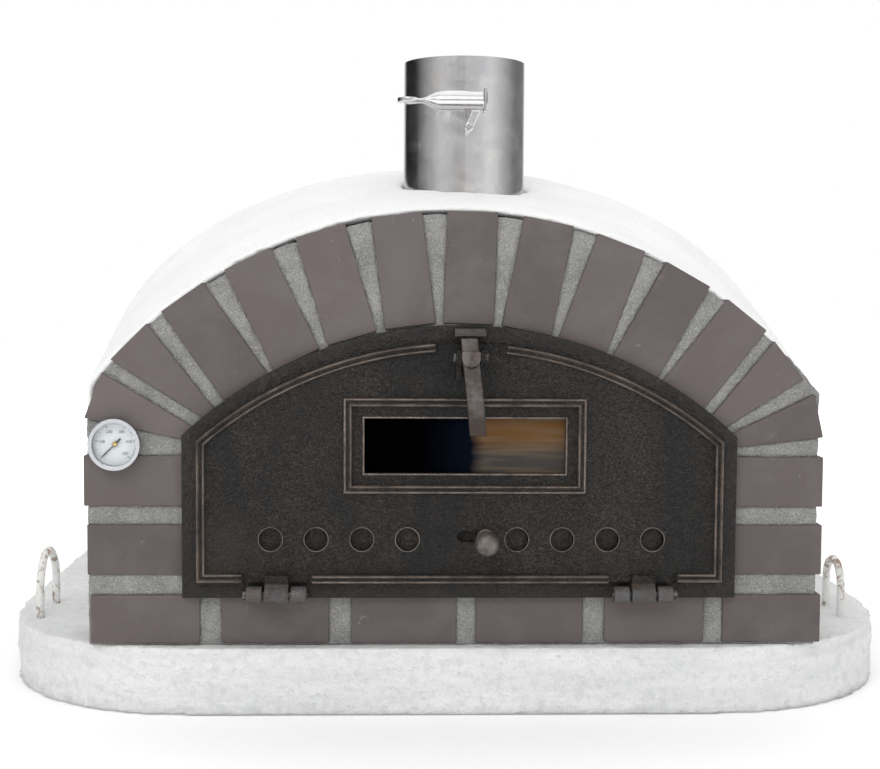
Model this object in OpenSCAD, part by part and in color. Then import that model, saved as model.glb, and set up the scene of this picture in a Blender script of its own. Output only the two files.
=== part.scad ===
// Wood fired pizza oven: rendered dome on a concrete slab, brick front, cast iron drop door.
// +X is the viewer's right, +Y goes to the back, +Z is up; z = 0 is the underside of the slab.

/* [Slab] */
// Width of the slab
slab_w = 990; // [980:5:1020]
// Depth of the slab, front to back
slab_d = 1000; // [990:5:1020]
// Thickness of the slab
slab_h = 70; // [60:5:80]
// Radius of the two front corners
front_corner_r = 220; // [200:5:230]
// Radius of the two rear corners
rear_corner_r = 300; // [200:10:320]

/* [Lifting loops] */
// Diameter of the steel rod
loop_rod = 9; // [8:1:12]
// Distance between the two legs
loop_span = 78; // [72:2:80]
// Height of a loop above the slab
loop_rise = 72; // [60:2:80]
// Distance of the loops from the middle of the slab, across
loop_x = 458; // [452:1:462]
// Distance of the front loops from the middle of the slab, to the front
loop_front = 314; // [300:2:320]
// Distance of the rear loops from the middle of the slab, to the back
loop_rear = 190; // [150:5:200]

/* [Dome] */
// Outer radius of the rendered wall
dome_r = 440; // [436:1:444]
// Height of the top of the render
dome_top = 598; // [594:1:602]
// Height at which the wall turns into the dome
spring_z = 320; // [315:1:325]
// Thickness of the outer render
render_t = 18; // [15:1:20]
// Thickness of the insulation blanket
blanket_t = 22; // [18:1:24]
// Thickness of the fire bricks
dome_brick_t = 45; // [40:1:46]
// Height of the hearth above the slab
hearth_h = 60; // [55:1:64]

/* [Brick front] */
// Length of a facing brick
brick_l = 115; // [112:1:116]
// Thickness of a facing brick
brick_t = 52; // [48:1:53]
// Depth of the brick front
brick_d = 110; // [105:1:112]
// Half width of the brick front
front_half = 382; // [382:0.5:384]
// Outer radius of the brick arch
arch_r = 486; // [484:1:488]
// Height of the centre of the brick arch
arch_z = 32; // [30:1:34]
// Distance from one brick course to the next
course_pitch = 71.3; // [70:0.1:72]
// How far the bricks stand behind the edge of the slab
ledge = 14; // [12:1:20]

/* [Door] */
// Half width of the door frame
frame_half = 285; // [283:1:287]
// Half width of the door leaf
leaf_half = 269; // [266:1:270]
// Half width of the way in
mouth_half = 252; // [248:1:253]
// Thickness of the leaf
leaf_t = 7; // [6:1:8]
// How far the door drops
door_swing = 90; // [60:5:90]

/* [Window] */
// Width of the opening in the leaf
window_w = 205; // [190:5:210]
// Height of the opening in the leaf
window_h = 56; // [50:1:58]

/* [Air vents] */
// Radius of a vent hole
vent_r = 12; // [10:0.5:12]
// Distance between neighbouring holes
vent_pitch = 46.5; // [46:0.5:47]

/* [Flue] */
// Outer diameter of the flue pipe
flue_d = 143; // [140:1:150]
// Height of the top of the flue pipe
flue_top = 704; // [700:2:720]
// Distance of the pipe in front of the dome's centre
flue_front = 227; // [222:1:232]

/* [Thermometer] */
// Diameter of the thermometer's rim
dial_d = 53; // [50:1:54]

/* [Hidden] */
$fn = 48;

half_w = slab_w / 2;
loop_root = 45;
half_slab = slab_d / 2;
front_y = -half_slab + ledge;
back_of_front_y = front_y + brick_d;

// The dome's layers, from the inside out, as horizontal and vertical half axes
dome_rise = dome_top - spring_z;
layers_t = render_t + blanket_t + dome_brick_t;
brick_in_r = dome_r - layers_t;
brick_in_rise = dome_rise - layers_t;
hearth_z = slab_h + hearth_h;
tile_h = 35;
layer_gap = 0.4;

// The door: an arched outline has a half width, a foot, a crown and an arc radius
frame_t = 10;
frame_front_y = front_y - frame_t;
leaf_back_y = frame_front_y - 0.4;
leaf_front_y = leaf_back_y - leaf_t;
door_x = 5;
frame_foot = 121;
frame_crown = 402;
frame_arc_r = 413;
leaf_foot = 139;
leaf_crown = 384;
leaf_arc_r = 411;
mouth_foot = 149;
mouth_crown = 367;
mouth_arc_r = 400;
sleeve_t = 5;
sleeve_l = 60;
opening_gap = 7;
bead_w = 8;
bead_h = 2.5;

// The drop hinge
hinge_y = frame_front_y - 12;
hinge_z = 127;
hinge_x = 187.5;
knuckle_half = 12;
knuckle_r = 9;
barrel_r = 8.5;
barrel_gap = 2.5;
barrel_l = 16;
pin_r = 3.5;
running_gap = 0.06;

// The window
window_x = door_x + 4;
window_z = 279;
moulding_w = 246;
moulding_h = 96;
glass_t = 4;

// The vents
vent_x = door_x + 1.5;
vent_z = 183;
vent_first = 56;
vent_travel = vent_pitch / 2;
knob_x = door_x + 25;
slot_half = 5.5;
shutter_t = 3;
shutter_half = 17;

// The latch
latch_x = door_x + 8;
latch_z = 370;
latch_y = leaf_front_y - 20;
latch_w = 17;
latch_pin_r = 3;
keeper_z = 391;

// The flue and its damper
flue_x = 18.5;
flue_y = -flue_front;
flue_r = flue_d / 2;
flue_wall = 2;
flue_foot = 478;
damper_z = 618;
spindle_r = 3;
handle_y = flue_y - flue_r - 45;
handle_up = 29;
grip_r = 11;
grip_x = -33;
press_l = 22;
grip_flat = 2.8;
grip_broad = 12;
tail_x = -67.5;

// The thermometer
dial_x = -347.5;
dial_z = 279;
dial_r = dial_d / 2;
case_depth = 12;
stem_r = 3;
stem_l = 100;
pointer_rest = 225;

// Lean of each whole brick of the arch from the vertical, laid by eye
arch_leans = [-35.2, -26.1, -16.7, -7.3, 1.9, 11.2, 20.4, 29.4, 38.2];

// The four bricks cut to a wedge that close the two feet of the arch
cut_bricks = [
    [[-316, 402], [-353, 365], [-254, 302], [-243, 309]],
    [[-362, 352], [-380, 305], [-264, 280], [-264, 293]],
    [[329, 387], [360, 348], [266, 289], [256, 298]],
    [[372, 332], [382, 287], [276, 275], [276, 286]]
];

// Left end and length of each brick under the door
sill_spans = [[-375, 112], [-241, 111], [-107, 109], [22, 111], [156, 104], [280, 103]];

// Where the two courses beside the door end, on the left and on the right
side_ends = [[-378, 383], [-381, 382.5]];

// Each loop: its middle across and along, its span and its rise; the second is bent in
loops = [
    [-loop_x, -loop_front, loop_span, loop_rise],
    [loop_x - 12, -loop_front - 8, loop_span - 22, loop_rise - 8],
    [-loop_x, loop_rear, loop_span, loop_rise],
    [loop_x, loop_rear, loop_span, loop_rise]
];

// Carries a drawing made in x and z to a plate that starts at y0 and goes depth to the back
module plate(y0, depth) {
    translate([0, y0 + depth, 0]) rotate([90, 0, 0]) linear_extrude(depth) children();
}

module arched(half, foot, crown, arc_r, x0 = 0) {
    intersection() {
        translate([x0, crown - arc_r]) circle(arc_r, $fn = 180);
        translate([x0 - half, foot]) square([2 * half, crown - foot]);
    }
}

module rod_x(x0, x1, r) {
    translate([x0, 0, 0]) rotate([0, 90, 0]) cylinder(h = x1 - x0, r = r);
}

module rod_y(y0, y1, r) {
    translate([0, y0, 0]) rotate([-90, 0, 0]) cylinder(h = y1 - y0, r = r);
}

// ---- Slab and lifting loops ----

module slab_outline() {
    side = half_w - front_corner_r;
    front = half_slab - front_corner_r;
    rear_x = half_w - rear_corner_r;
    rear_y = half_slab - rear_corner_r;
    for (s = [-1, 1]) {
        translate([s * side, -front]) circle(front_corner_r, $fn = 96);
        translate([s * rear_x, rear_y]) circle(rear_corner_r, $fn = 96);
    }
    translate([-side, -half_slab]) square([2 * side, half_slab]);
    translate([-half_w, -front]) square([slab_w, front + rear_y]);
    translate([-rear_x, 0]) square([2 * rear_x, half_slab]);
}

module base_slab() {
    color("gainsboro") difference() {
        linear_extrude(slab_h) slab_outline();
        for (l = loops, s = [-1, 1]) {
            translate([l[0], l[1] + s * l[2] / 2, slab_h - loop_root])
                cylinder(h = loop_root + 5, r = loop_rod / 2);
        }
    }
}

// A bent rod with its two legs set into the slab
module lifting_loop(l) {
    bend_r = l[2] / 2;
    straight = l[3] - bend_r - loop_rod / 2;
    color("silver") translate([l[0], l[1], slab_h]) {
        for (s = [-1, 1]) {
            translate([0, s * bend_r, -loop_root])
                cylinder(h = loop_root + straight, r = loop_rod / 2);
        }
        translate([0, 0, straight]) rotate([90, 0, 90])
            rotate_extrude(angle = 180) translate([bend_r, 0]) circle(loop_rod / 2);
    }
}

// ---- Hearth ----

module hearth_insulation() {
    color("lightyellow") translate([0, 0, slab_h])
        cylinder(h = hearth_h - tile_h, r = brick_in_r - 1, $fn = 96);
}

module hearth_tiles() {
    tile = 240;
    joint = 3;
    color("tan") for (i = [-1:1], j = [-1:1]) {
        translate([0, 0, hearth_z - tile_h]) linear_extrude(tile_h) intersection() {
            circle(brick_in_r - 1, $fn = 96);
            translate([i * (tile + joint), j * (tile + joint)]) square(tile, center = true);
        }
    }
}

// ---- Fire brick dome ----

// A block of a course: the quadrilateral profile, swept from angle a0 to a1 (0 is the front)
module dome_block(profile, a0, a1) {
    rotate([0, 0, a0 - 90]) rotate_extrude(angle = a1 - a0, $fn = 96) polygon(profile);
}

function inner_point(t) = [brick_in_r * cos(t), spring_z + brick_in_rise * sin(t)];
function outer_point(t) =
    [(brick_in_r + dome_brick_t) * cos(t), spring_z + (brick_in_rise + dome_brick_t) * sin(t)];

// The wall has no blocks from mouth_angle left of the front to mouth_angle right of it
wall_blocks = 12;
wall_courses = 4;
block_joint = 0.5;
mouth_angle = 48;

module dome_wall_bricks() {
    course_h = (spring_z - slab_h) / wall_courses;
    step = (360 - 2 * mouth_angle) / wall_blocks;
    color("burlywood") for (c = [0:wall_courses - 1], k = [0:wall_blocks - 1]) {
        z0 = slab_h + c * course_h + 1;
        profile = [
            [brick_in_r, z0], [brick_in_r + dome_brick_t, z0],
            [brick_in_r + dome_brick_t, z0 + course_h - 2], [brick_in_r, z0 + course_h - 2]
        ];
        a0 = mouth_angle + k * step;
        dome_block(profile, a0 + block_joint / 2, a0 + step - block_joint / 2);
    }
}

// The walls and the lintel of the way in
jamb_gap = 8;
jamb_h = 204;
lintel_half = 310;
lintel_crown = 424;
lintel_arc_r = 460;
lintel_depth = 70;

// Each course of the vault: where it starts and ends on the curve, and its number of blocks
vault_courses = [[0, 17, 16], [17, 34, 16], [34, 51, 12], [51, 69, 8]];

module flue_hole(r) {
    translate([flue_x, flue_y, 300]) cylinder(h = 400, r = r, $fn = 64);
}

module mouth_cut() {
    plate(-half_slab, 400)
        arched(mouth_half + 10, slab_h, mouth_crown + 10, mouth_arc_r + 10, door_x);
}

// The room that the brick front takes up
module front_room() {
    translate([-half_slab, -half_slab, 0])
        cube([slab_d, half_slab + back_of_front_y + 0.5, dome_top]);
}

// The room that the lintel takes up, with a gap round it
module lintel_room(gap) {
    plate(-half_slab, half_slab + back_of_front_y + lintel_depth + 0.4 + gap)
        arched(lintel_half + gap, slab_h + jamb_h, lintel_crown + gap, lintel_arc_r + gap, door_x);
}

module dome_vault_bricks() {
    color("burlywood") difference() {
        for (v = vault_courses, k = [0:v[2] - 1]) {
            step = 360 / v[2];
            over_mouth = v[0] == 0 && (k == 0 || k == v[2] - 1);
            profile = [
                inner_point(v[0] + 0.2), outer_point(v[0] + 0.2),
                outer_point(v[1]), inner_point(v[1])
            ];
            if (!over_mouth) dome_block(profile, k * step + 0.3, (k + 1) * step - 0.3);
        }
        mouth_cut();
        front_room();
        lintel_room(0.5);
        flue_hole(flue_r + 1);
    }
}

module dome_crown_brick() {
    crown_t = vault_courses[3][1] + 0.4;
    color("burlywood") rotate_extrude($fn = 64) polygon([
        [0, inner_point(crown_t)[1]], inner_point(crown_t), outer_point(crown_t),
        [0, outer_point(crown_t)[1]]
    ]);
}

// ---- Walls and lintel of the way in ----

module mouth_jamb(s) {
    jamb_x = mouth_half + jamb_gap + s * door_x;
    near_y = -sqrt(pow(brick_in_r, 2) - pow(jamb_x, 2)) - 3;
    far_r = brick_in_r + dome_brick_t;
    far_x = far_r * sin(mouth_angle);
    far_y = -far_r * cos(mouth_angle) - 3;
    color("burlywood") translate([0, 0, slab_h + 1]) linear_extrude(jamb_h) polygon([
        [s * jamb_x, back_of_front_y + 0.4], [s * jamb_x, near_y],
        [s * far_x, far_y], [s * (far_x + 12), back_of_front_y + 0.4]
    ]);
}

module mouth_lintel() {
    color("burlywood") plate(back_of_front_y + 0.4, lintel_depth) difference() {
        arched(lintel_half, slab_h + jamb_h + 2, lintel_crown, lintel_arc_r, door_x);
        arched(mouth_half + jamb_gap, slab_h + jamb_h - 4, mouth_crown + jamb_gap,
            mouth_arc_r + jamb_gap, door_x);
    }
}

// ---- Insulation and render ----

render_steps = 14;
crown_gap = 1.6;

// Half section of a layer: its wall radius and its rise above the spring line
module layer_profile(r, rise, steps) {
    polygon(concat(
        [[0, slab_h], [r, slab_h]],
        [for (i = [0:steps - 1]) [r * cos(i * 90 / steps), spring_z + rise * sin(i * 90 / steps)]],
        [[0, spring_z + rise]]
    ));
}

module insulation_blanket() {
    inner_r = brick_in_r + dome_brick_t + layer_gap;
    inner_rise = brick_in_rise + dome_brick_t + layer_gap;
    outer_r = dome_r - render_t - 2 * layer_gap;
    outer_rise = dome_rise - render_t - crown_gap;
    color("ivory") difference() {
        rotate_extrude($fn = 96) difference() {
            layer_profile(outer_r, outer_rise, render_steps);
            layer_profile(inner_r, inner_rise, 2 * render_steps);
        }
        front_room();
        plate(-half_slab, 250)
            arched(lintel_half + 16, slab_h - 1, lintel_crown + 2, lintel_arc_r + 2, door_x);
        flue_hole(flue_r + 1);
    }
}

// The outline that the render meets the brick front with
lip_half = 392;
lip_crown = 527;
lip_arc_r = 496;

module render_mass(inset, foot) {
    lip_y = front_y + 66;
    hull() {
        rotate_extrude($fn = 96) layer_profile(dome_r - inset, dome_rise - inset, render_steps);
        plate(lip_y, back_of_front_y - lip_y)
            arched(lip_half - inset, foot, lip_crown - inset, lip_arc_r - inset);
    }
}

module outer_render() {
    color("white") difference() {
        render_mass(0, slab_h);
        translate([0, 0, -1]) render_mass(render_t, slab_h);
        plate(-half_slab - 10, back_of_front_y + half_slab + 10.4)
            arched(front_half + 1.8, slab_h - 20, arch_z + arch_r + 1, arch_r + 1);
        flue_hole(flue_r + 0.3);
    }
}

// ---- Brick front ----

module arch_outline() {
    for (lean = arch_leans) {
        translate([0, arch_z]) rotate(-lean) translate([-brick_t / 2, arch_r - brick_l])
            square([brick_t, brick_l]);
    }
    for (corners = cut_bricks) polygon(corners);
}

sill_z = slab_h + 2;

module side_outline() {
    for (c = [0, 1]) {
        z = sill_z + (c + 1) * course_pitch;
        translate([side_ends[c][0], z]) square([brick_l, brick_t]);
        translate([side_ends[c][1] - brick_l, z]) square([brick_l, brick_t]);
    }
}

module sill_outline() {
    for (b = sill_spans) translate([b[0], sill_z]) square([b[1], brick_t - 2]);
}

module arch_bricks() {
    color([0.37, 0.32, 0.32]) plate(front_y, brick_d) arch_outline();
}

module side_bricks() {
    color([0.37, 0.32, 0.32]) plate(front_y, brick_d) side_outline();
}

// These lie under the frame's sleeve, at their full depth
module sill_bricks() {
    color([0.37, 0.32, 0.32]) plate(front_y, brick_d) sill_outline();
}

// Outside the lowest wedge brick on the left there is no mortar
module outside_left_foot() {
    top = cut_bricks[1][0];
    low = cut_bricks[1][1];
    polygon([top, low, [-half_w, low[1]], [-half_w, top[1]]]);
}

module front_mortar() {
    recess = 3;
    color("gray") difference() {
        plate(front_y + recess, brick_d - recess) difference() {
            intersection() {
                translate([0, arch_z]) circle(arch_r - 4, $fn = 180);
                translate([-front_half + 5, slab_h]) square([2 * front_half - 10, 500]);
            }
            arched(mouth_half + opening_gap, mouth_foot - opening_gap,
                mouth_crown + opening_gap, mouth_arc_r + opening_gap, door_x);
            arch_outline();
            side_outline();
            sill_outline();
            outside_left_foot();
        }
        translate([dial_x, 0, dial_z]) rod_y(front_y, 0, stem_r);
    }
}

// ---- Door frame ----

// The four fixed barrels of the two hinges
module frame_barrels() {
    for (s = [-1, 1], side = [-1, 1]) {
        middle = door_x + s * hinge_x + side * (knuckle_half + barrel_gap + barrel_l / 2);
        translate([middle - barrel_l / 2, 0, 0]) {
            translate([0, hinge_y, hinge_z]) rod_x(0, barrel_l, barrel_r);
            translate([0, hinge_y, frame_foot])
                cube([barrel_l, frame_front_y - hinge_y + 1, hinge_z - frame_foot + 6]);
        }
    }
}

module door_frame() {
    color([0.2, 0.18, 0.17]) difference() {
        union() {
            plate(frame_front_y, frame_t) difference() {
                arched(frame_half, frame_foot, frame_crown, frame_arc_r, door_x);
                arched(mouth_half, mouth_foot, mouth_crown, mouth_arc_r, door_x);
            }
            plate(front_y - 1, sleeve_l) difference() {
                arched(mouth_half + sleeve_t, mouth_foot - sleeve_t,
                    mouth_crown + sleeve_t, mouth_arc_r + sleeve_t, door_x);
                arched(mouth_half, mouth_foot, mouth_crown, mouth_arc_r, door_x);
            }
            frame_barrels();
        }
        for (s = [-1, 1]) {
            translate([door_x + s * hinge_x, hinge_y, hinge_z]) rod_x(-40, 40, pin_r);
        }
    }
}

module latch_keeper() {
    color([0.3, 0.27, 0.25]) translate([latch_x - 16, frame_front_y - 24, keeper_z])
        difference() {
            cube([32, 24, 8]);
            translate([-1, -1, 5]) rotate([-20, 0, 0]) translate([0, -6, 0]) cube([34, 14, 10]);
        }
}

module hinge_pin(s) {
    tip = knuckle_half + barrel_gap + barrel_l;
    color("silver") translate([door_x + s * hinge_x, hinge_y, hinge_z]) {
        rod_x(-tip - 1, tip + 1, pin_r);
        if (s < 0) rod_x(-tip - 4, -tip - 0.5, pin_r + 1.5);
        if (s > 0) rod_x(tip + 0.5, tip + 4, pin_r + 1.5);
    }
}

// ---- Door leaf ----

module vent_circles(shift = 0, r = vent_r) {
    for (s = [-1, 1], i = [0:3]) {
        translate([vent_x + s * (vent_first + i * vent_pitch) + shift, vent_z]) circle(r);
    }
}

module slot_outline(grow = 0) {
    r = slot_half + grow;
    x0 = knob_x - vent_travel;
    translate([x0, vent_z + 3]) circle(r);
    translate([knob_x, vent_z + 3]) circle(r);
    translate([x0, vent_z + 3 - r]) square([knob_x - x0, 2 * r]);
}

module leaf_bead() {
    difference() {
        arched(leaf_half, leaf_foot, leaf_crown, leaf_arc_r, door_x);
        arched(leaf_half - bead_w, leaf_foot + bead_w, leaf_crown - bead_w,
            leaf_arc_r - bead_w, door_x);
        translate([latch_x - 34, leaf_crown - 40]) square([66, 60]);
        for (s = [-1, 1]) {
            translate([door_x + s * hinge_x - 34, leaf_foot - 5]) square([68, 30]);
        }
    }
}

module window_frame(w, h, width) {
    translate([window_x, window_z]) difference() {
        square([w, h], center = true);
        square([w - 2 * width, h - 2 * width], center = true);
    }
}

module leaf_knuckles() {
    for (s = [-1, 1]) {
        translate([door_x + s * hinge_x - knuckle_half, 0, 0]) {
            translate([0, hinge_y, hinge_z]) rod_x(0, 2 * knuckle_half, knuckle_r);
            translate([0, hinge_y - 2, hinge_z + 4])
                cube([2 * knuckle_half, leaf_back_y - hinge_y + 2 - 0.2, 16]);
        }
    }
}

module latch_lugs() {
    for (s = [-1, 1]) {
        x0 = latch_x + s * (latch_w / 2 + 3.5) - 2.5;
        translate([x0, latch_y, latch_z]) rod_x(0, 5, 8);
        translate([x0, latch_y, latch_z - 22]) cube([5, leaf_front_y - latch_y + 1, 30]);
    }
}

module door_leaf() {
    color([0.17, 0.16, 0.15]) difference() {
        union() {
            plate(leaf_front_y, leaf_t)
                arched(leaf_half, leaf_foot, leaf_crown, leaf_arc_r, door_x);
            plate(leaf_front_y - bead_h, bead_h + 1) leaf_bead();
            plate(leaf_front_y - bead_h, bead_h + 1) window_frame(moulding_w, moulding_h, 7);
            leaf_knuckles();
            latch_lugs();
        }
        plate(leaf_front_y - 10, leaf_t + 20) {
            vent_circles();
            slot_outline();
            translate([window_x, window_z]) square([window_w, window_h], center = true);
        }
        for (s = [-1, 1]) {
            translate([door_x + s * hinge_x, hinge_y, hinge_z])
                rod_x(-40, 40, pin_r + running_gap);
        }
        translate([latch_x, latch_y, latch_z]) rod_x(-30, 30, latch_pin_r);
        retainer_screw_holes(leaf_back_y - 5, 5.5, 2);
        guide_screw_holes(leaf_back_y - 4, 5, 1.5);
    }
}

module window_glass() {
    color([0.1, 0.1, 0.12, 0.6]) plate(leaf_back_y + 0.1, glass_t)
        translate([window_x, window_z]) square([window_w + 16, window_h + 12], center = true);
}

// Screws that hold the retainer, at its four corners
screw_dx = 114;
screw_dz = 34;

module retainer_screw_holes(y0, l, r) {
    for (sx = [-1, 1], sz = [-1, 1]) {
        translate([window_x + sx * screw_dx, 0, window_z + sz * screw_dz]) rod_y(y0, y0 + l, r);
    }
}

module glass_retainer() {
    depth = 9;
    outer_w = 242;
    outer_h = 84;
    color([0.25, 0.23, 0.22]) difference() {
        plate(leaf_back_y, depth) window_frame(outer_w, outer_h, (outer_w - window_w) / 2 - 3);
        plate(leaf_back_y - 1, glass_t + 1.3) translate([window_x, window_z])
            square([window_w + 17, window_h + 13], center = true);
        retainer_screw_holes(leaf_back_y - 1, depth + 2, 2);
    }
}

module retainer_screws() {
    color("silver") {
        retainer_screw_holes(leaf_back_y - 5, 14, 2);
        retainer_screw_holes(leaf_back_y + 9, 3, 4);
    }
}

// ---- Air shutter ----

guide_half = 238;
guide_dx = guide_half - 10;

module guide_screw_holes(y0, l, r) {
    for (sx = [-1, 1], sz = [-1, 1]) {
        translate([door_x + sx * guide_dx, 0, vent_z + sz * (shutter_half + 5)]) rod_y(y0, y0 + l, r);
    }
}

module shutter_guides() {
    color([0.25, 0.23, 0.22]) difference() {
        for (s = [-1, 1]) {
            z0 = vent_z + s * (shutter_half + 5);
            translate([door_x - guide_half, leaf_back_y, z0 - 4.5])
                cube([2 * guide_half, shutter_t + 0.6, 9]);
            translate([door_x - guide_half, leaf_back_y + shutter_t + 0.4,
                z0 - 4.5 - (s > 0 ? 4 : 0)]) cube([2 * guide_half, 2, 13]);
        }
        guide_screw_holes(leaf_back_y - 1, 10, 1.5);
    }
}

module shutter_guide_screws() {
    color("silver") {
        guide_screw_holes(leaf_back_y - 4, 9.4, 1.5);
        guide_screw_holes(leaf_back_y + 5.4, 2, 3);
    }
}

module vent_shutter() {
    color([0.2, 0.18, 0.17]) plate(leaf_back_y + 0.2, shutter_t) difference() {
        translate([door_x - 214, vent_z - shutter_half]) square([460, 2 * shutter_half]);
        vent_circles(vent_travel);
        translate([knob_x, vent_z + 3]) circle(3);
    }
}

module vent_knob() {
    ball_r = 12.5;
    neck_y = leaf_front_y - 4;
    color([0.35, 0.3, 0.27]) translate([knob_x, 0, vent_z + 3]) {
        rod_y(leaf_back_y + 3.2, leaf_back_y + 5, 5);
        rod_y(leaf_back_y + 0.2, leaf_back_y + 3.2, 3);
        rod_y(neck_y, leaf_back_y + 0.2, 5);
        rod_y(neck_y - 4, leaf_front_y - 0.5, 9);
        rod_y(neck_y - 16, neck_y - 4, 7);
        translate([0, neck_y - 27, -2]) sphere(ball_r);
    }
}

// ---- Latch ----

module latch_pin() {
    half = latch_w / 2 + 6;
    color("silver") translate([latch_x, latch_y, latch_z]) {
        rod_x(-half - 1, half + 1, latch_pin_r);
        rod_x(-half - 3, -half - 1, latch_pin_r + 2);
        rod_x(half + 1, half + 3, latch_pin_r + 2);
    }
}

// How far the lever leans to the right for each millimetre down
lever_lean = 0.085;

// Side view of the lever, pivot at the origin, y to the back: tongue up, handle down and out
lever_points = [
    [3, 0], [3, 19.5], [-5, 19.5], [-9, 4], [-9, -8], [-26, -40], [-31, -60], [-29, -76],
    [-22, -76], [-22, -60], [-18, -42], [2, -9]
];

module latch_lever() {
    color([0.38, 0.33, 0.3]) translate([latch_x, latch_y, latch_z]) difference() {
        union() {
            multmatrix([[1, 0, -lever_lean, 0], [0, 1, 0, 0], [0, 0, 1, 0]])
                translate([-latch_w / 2, 0, 0]) rotate([90, 0, 90]) linear_extrude(latch_w)
                polygon(lever_points);
            rod_x(-latch_w / 2, latch_w / 2, 9);
        }
        rod_x(-20, 20, latch_pin_r + running_gap);
    }
}

// ---- Flue and damper ----

module flue_pipe() {
    color("lightsteelblue") translate([flue_x, flue_y, 0]) difference() {
        translate([0, 0, flue_foot]) cylinder(h = flue_top - flue_foot, r = flue_r, $fn = 96);
        translate([0, 0, flue_foot - 1])
            cylinder(h = flue_top - flue_foot + 2, r = flue_r - flue_wall, $fn = 96);
        translate([0, 0, damper_z]) rod_y(-flue_r - 5, flue_r + 5, spindle_r + running_gap);
    }
}

module damper_spindle() {
    color("silver") translate([flue_x, 0, damper_z])
        rod_y(handle_y - 4, flue_y + flue_r + 8, spindle_r);
}

module damper_disc() {
    color("slategray") translate([flue_x, flue_y, damper_z]) difference() {
        translate([0, 0, spindle_r]) cylinder(h = 2, r = flue_r - flue_wall - 3, $fn = 96);
        damper_screw_holes(spindle_r - 4, 8);
    }
}

module damper_screw_holes(z0, l) {
    for (y = [-35, 35]) translate([0, y, z0]) cylinder(h = l, r = 1.5);
}

module damper_disc_screws() {
    color("silver") translate([flue_x, flue_y, damper_z]) {
        difference() {
            damper_screw_holes(spindle_r, 2);
            rod_y(-60, 60, spindle_r);
        }
        translate([0, -35, spindle_r + 2]) cylinder(h = 2, r = 3.5);
        translate([0, 35, spindle_r + 2]) cylinder(h = 2, r = 3.5);
    }
}

// The grip where it is pressed flat: rings along x, each with its half height and half depth
press_steps = 6;
press_sides = 24;

function press(i) = pow(i / press_steps, 2) * (3 - 2 * i / press_steps);
function press_high(i) = grip_r - 0.2 + (grip_flat - 0.1 - grip_r) * press(i);
function press_deep(i) = grip_r - 0.2 + (grip_broad - 0.2 - grip_r) * press(i);
function press_x(i) = i == 0 ? grip_x + 3 : grip_x - press_l * i / press_steps;
function press_ring(x, high, deep) = [for (k = [0:press_sides - 1])
    [x, deep * cos(k * 360 / press_sides), high * sin(k * 360 / press_sides)]];

module pressed_grip() {
    n = press_sides;
    rings = concat(
        [for (i = [0:press_steps]) press_ring(press_x(i), press_high(i), press_deep(i))],
        [press_ring(tail_x, press_high(press_steps), press_deep(press_steps))]
    );
    last = len(rings) - 1;
    polyhedron(
        [for (ring = rings, point = ring) point],
        concat(
            [[for (k = [0:n - 1]) n - 1 - k]],
            [for (i = [0:last - 1], k = [0:n - 1]) [i * n + k, i * n + (k + 1) % n, (i + 1) * n + k]],
            [for (i = [0:last - 1], k = [0:n - 1])
                [i * n + (k + 1) % n, (i + 1) * n + (k + 1) % n, (i + 1) * n + k]],
            [[for (k = [0:n - 1]) last * n + k]]
        )
    );
}

module grip() {
    difference() {
        rod_x(grip_x, 20, grip_r);
        rod_x(grip_x + 8, 16, grip_r - 1.5);
    }
    translate([16, -14, -14]) cube([3, 28, 28]);
    difference() {
        union() {
            pressed_grip();
            translate([tail_x, 0, -grip_flat]) rotate([0, 0, 40])
                cylinder(h = 2 * grip_flat, r = grip_broad);
        }
        translate([tail_x, 0, -5]) cylinder(h = 10, r = 3.5);
    }
}

module damper_handle() {
    strap_r = 4.8;
    strap_lean = 24;
    color("silver") difference() {
        translate([flue_x, handle_y, damper_z]) {
            rod_y(-4, 12, strap_r);
            rotate([0, strap_lean, 0]) translate([-strap_r + 0.5, -3.8, 0])
                cube([2 * strap_r - 1, 4.5, handle_up - grip_r + 7]);
            translate([0, 0, handle_up]) grip();
        }
        translate([flue_x, 0, damper_z]) rod_y(handle_y - 5, handle_y + 20, spindle_r);
    }
}

// ---- Thermometer ----

module at_dial() {
    translate([dial_x, front_y, dial_z]) children();
}

module thermometer_case() {
    color("silver") at_dial() difference() {
        rod_y(-case_depth, 0, dial_r - 2);
        rod_y(-case_depth - 1, -2, dial_r - 4);
        rod_y(-3, 1, stem_r);
    }
}

module thermometer_bezel() {
    color("silver") at_dial() difference() {
        rod_y(-case_depth - 3, -case_depth + 5, dial_r);
        rod_y(-case_depth - 1.5, -case_depth + 6, dial_r - 2);
        rod_y(-case_depth - 4, -case_depth + 6, dial_r - 4.5);
    }
}

module thermometer_glass() {
    color([0.9, 0.95, 1, 0.4]) at_dial()
        rod_y(-case_depth - 1.4, -case_depth - 0.1, dial_r - 2.1);
}

module thermometer_dial() {
    color("white") at_dial() difference() {
        rod_y(-4, -3.2, dial_r - 4.1);
        rod_y(-5, -2, 1.2 + running_gap);
    }
}

module thermometer_stem() {
    color("silver") at_dial() difference() {
        union() {
            rod_y(-3.1, stem_l, stem_r);
            rod_y(-3.1, -2, 5);
        }
        rod_y(-4, stem_l - 6, 1.2 + running_gap);
    }
}

module thermometer_pointer() {
    color("black") at_dial() {
        rod_y(-7, stem_l - 10, 1.2);
        rod_y(-7.4, -5.4, 2.6);
        rotate([0, pointer_rest, 0]) {
            translate([-0.6, -6.6, 0]) cube([1.2, 0.6, dial_r - 8]);
            translate([-1, -6.6, -8]) cube([2, 0.6, 8]);
        }
    }
}

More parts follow.
